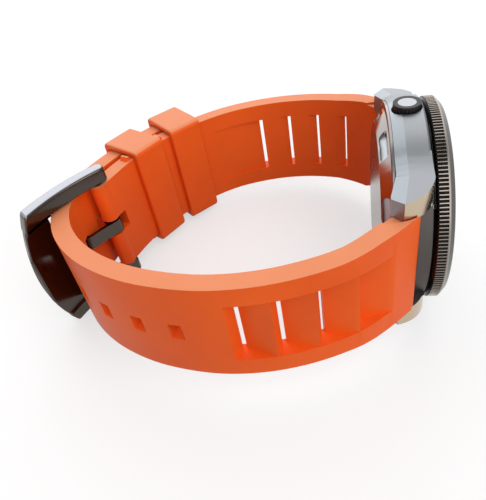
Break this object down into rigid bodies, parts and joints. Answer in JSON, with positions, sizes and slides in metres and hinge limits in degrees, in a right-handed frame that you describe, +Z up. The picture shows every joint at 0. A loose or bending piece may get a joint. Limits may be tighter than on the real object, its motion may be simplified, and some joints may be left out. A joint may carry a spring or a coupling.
{
  "type": "dive watch",
  "caption": "Round dive watch standing on its edge, its vented orange rubber strap buckled into a closed loop, with a turning bezel, a pull-out crown, running hands and a pin buckle.",
  "frame": {"origin": "on the floor, below the middle of the outline of the watch as it stands on its case's edge and its buckle", "axes": "+Z up from the floor; +X from the buckle towards the dial, the longest extent; +Y from the 12 o'clock strap half towards the 6 o'clock half"},
  "size_m": [0.084, 0.0695, 0.0428],
  "materials": {
    "case_steel": "fine circular and lengthwise brushing with polished bevels",
    "caseback_steel": "circular brushing, polished inner step",
    "bezel_steel": "dark gunmetal plating, polished flute tops",
    "bezel_insert": "dark grey anodised, fine radial brushing, white marks",
    "lume": "matte luminous filling",
    "crystal": "clear polished sapphire",
    "gasket_rubber": "matte black",
    "spring_steel": "plain bright",
    "crown_black": "satin black coating on a knurled edge",
    "polished_steel": "mirror polish",
    "holder_plastic": "matte moulded",
    "movement_plate": "nickel plated, fine graining",
    "blued_steel": "heat blued, polished",
    "jewel_ruby": "polished synthetic ruby",
    "brass": "gilt, fine graining",
    "dial_black": "matte black lacquer",
    "hand_white": "satin with luminous fill",
    "strap_rubber": "satin moulded orange rubber with a fine grain",
    "buckle_steel": "gunmetal, brushed top and polished inside"
  },
  "bodies": {
    "case": {"mid_case": "case_steel", "caseback": "caseback_steel", "caseback_gasket": "gasket_rubber", "crystal": "crystal", "crystal_gasket": "gasket_rubber", "bezel_click_spring": "spring_steel", "bezel_gasket": "gasket_rubber", "crown_tube": "spring_steel", "movement_holder": "holder_plastic", "main_plate": "movement_plate", "barrel_bridge": "movement_plate", "train_bridge": "movement_plate", "balance_cock": "movement_plate", "pallet_bridge": "movement_plate", "bridge_screws": "blued_steel", "jewels": "jewel_ruby", "rotor_bearing": "movement_plate", "dial": "dial_black", "dial_markers": "lume", "chapter_ring": "dial_black", "spring_bar_12": "spring_steel", "spring_bar_6": "spring_steel", "strap_tail_half": "strap_rubber", "strap_buckle_half": "strap_rubber", "fixed_keeper": "strap_rubber", "buckle_bar": "buckle_steel"},
    "bezel": {"bezel_ring": "bezel_steel", "bezel_insert": "bezel_insert", "bezel_pip": "lume"},
    "winder": {"winding_pinion": "spring_steel"},
    "crown": {"crown": "crown_black", "crown_cap": "polished_steel", "crown_gasket": "gasket_rubber", "winding_stem": "spring_steel"},
    "clutch": {"sliding_pinion": "spring_steel"},
    "crown_wheel": {"crown_wheel": "spring_steel"},
    "ratchet": {"ratchet_wheel": "spring_steel"},
    "click": {"ratchet_click": "spring_steel"},
    "fourth": {"fourth_wheel": "brass", "seconds_hand": "hand_white"},
    "third": {"third_wheel": "brass"},
    "centre": {"centre_wheel": "brass", "cannon_pinion": "spring_steel", "minute_hand": "hand_white"},
    "barrel": {"barrel": "brass", "mainspring": "spring_steel"},
    "escape": {"escape_wheel": "spring_steel"},
    "minute": {"minute_wheel": "brass"},
    "hour": {"hour_wheel": "brass", "hour_hand": "hand_white"},
    "balance": {"balance_wheel": "brass", "hairspring": "blued_steel"},
    "pallet": {"pallet_fork": "spring_steel"},
    "rotor": {"rotor": "movement_plate"},
    "buckle": {"buckle_frame": "buckle_steel"},
    "tongue": {"buckle_tongue": "buckle_steel"},
    "keeper": {"sliding_keeper": "strap_rubber"}
  },
  "joints": [
    {"name": "bezel_turn", "type": "hinge", "parent": "case", "child": "bezel", "pos_m": [0.03782, 0.00253, 0.02134], "axis": [0.995, 0, 0.1002], "continuous": true},
    {"name": "crown_turn", "type": "hinge", "parent": "case", "child": "winder", "pos_m": [0.03251, 0.00342, 0.03011], "axis": [-0.0997, 0.0958, 0.9904], "continuous": true},
    {"name": "crown_pull", "type": "slide", "parent": "winder", "child": "crown", "axis": [-0.0997, 0.0958, 0.9904], "range_m": [0, 0.0016]},
    {"name": "clutch_slide", "type": "slide", "parent": "winder", "child": "clutch", "axis": [-0.0997, 0.0958, 0.9904], "range_m": [-0.00096, 0]},
    {"name": "crown_wheel_turn", "type": "hinge", "parent": "case", "child": "crown_wheel", "pos_m": [0.03006, 0.00329, 0.02847], "axis": [0.995, 0, 0.1002], "continuous": true},
    {"name": "ratchet_turn", "type": "hinge", "parent": "case", "child": "ratchet", "pos_m": [0.03049, -0.00252, 0.02423], "axis": [0.995, 0, 0.1002], "continuous": true},
    {"name": "click_turn", "type": "hinge", "parent": "case", "child": "click", "pos_m": [0.03021, -0.00677, 0.02703], "axis": [0.995, 0, 0.1002], "range_deg": [-8, 0]},
    {"name": "seconds_turn", "type": "hinge", "parent": "case", "child": "fourth", "pos_m": [0.03682, 0.00253, 0.02124], "axis": [-0.995, 0, -0.1002], "continuous": true},
    {"name": "third_turn", "type": "hinge", "parent": "case", "child": "third", "pos_m": [0.03233, 0.00378, 0.01593], "axis": [-0.995, 0, -0.1002], "continuous": true},
    {"name": "minutes_turn", "type": "hinge", "parent": "case", "child": "centre", "pos_m": [0.03682, 0.00253, 0.02124], "axis": [-0.995, 0, -0.1002], "continuous": true},
    {"name": "barrel_turn", "type": "hinge", "parent": "case", "child": "barrel", "pos_m": [0.03198, -0.00252, 0.02438], "axis": [-0.995, 0, -0.1002], "continuous": true},
    {"name": "escape_turn", "type": "hinge", "parent": "case", "child": "escape", "pos_m": [0.03222, 0.00718, 0.02199], "axis": [-0.995, 0, -0.1002], "continuous": true},
    {"name": "minute_wheel_turn", "type": "hinge", "parent": "case", "child": "minute", "pos_m": [0.03554, 0.00102, 0.01899], "axis": [-0.995, 0, -0.1002], "continuous": true},
    {"name": "hours_turn", "type": "hinge", "parent": "case", "child": "hour", "pos_m": [0.03682, 0.00253, 0.02124], "axis": [-0.995, 0, -0.1002], "continuous": true},
    {"name": "balance_swing", "type": "hinge", "parent": "case", "child": "balance", "pos_m": [0.03124, 0.01208, 0.02178], "axis": [0.995, 0, 0.1002], "range_deg": [-135, 135], "deforming": ["hairspring"]},
    {"name": "pallet_swing", "type": "hinge", "parent": "case", "child": "pallet", "pos_m": [0.03243, 0.00957, 0.02194], "axis": [0.995, 0, 0.1002], "range_deg": [-5, 5]},
    {"name": "rotor_turn", "type": "hinge", "parent": "case", "child": "rotor", "pos_m": [0.02886, 0.00253, 0.02044], "axis": [0.995, 0, 0.1002], "continuous": true},
    {"name": "buckle_tilt", "type": "hinge", "parent": "case", "child": "buckle", "pos_m": [-0.03008, -0.00115, 0.01486], "axis": [-0.0997, 0.0958, 0.9904], "range_deg": [-2, 2]},
    {"name": "tongue_tilt", "type": "hinge", "parent": "case", "child": "tongue", "pos_m": [-0.03008, -0.00115, 0.01486], "axis": [-0.0997, 0.0958, 0.9904], "range_deg": [-2, 2]},
    {"name": "keeper_slide", "type": "hinge", "parent": "case", "child": "keeper", "pos_m": [0.01073, -0.00701, 0.01954], "axis": [0.0997, -0.0958, -0.9904], "range_deg": [0, 6]}
  ],
  "couplings": [
    {"joint": "clutch_slide", "follows": "crown_pull", "ratio": -0.6},
    {"joint": "crown_wheel_turn", "follows": "crown_turn", "ratio": 0.75},
    {"joint": "ratchet_turn", "follows": "crown_turn", "ratio": -0.6},
    {"joint": "third_turn", "follows": "seconds_turn", "ratio": -0.125},
    {"joint": "minutes_turn", "follows": "seconds_turn", "ratio": 0.016667},
    {"joint": "barrel_turn", "follows": "seconds_turn", "ratio": -0.0020833},
    {"joint": "escape_turn", "follows": "seconds_turn", "ratio": -12},
    {"joint": "minute_wheel_turn", "follows": "seconds_turn", "ratio": -0.0055556},
    {"joint": "hours_turn", "follows": "seconds_turn", "ratio": 0.0013889},
    {"joint": "pallet_swing", "follows": "balance_swing", "ratio": -0.037037},
    {"joint": "tongue_tilt", "follows": "buckle_tilt", "ratio": 1}
  ]
}
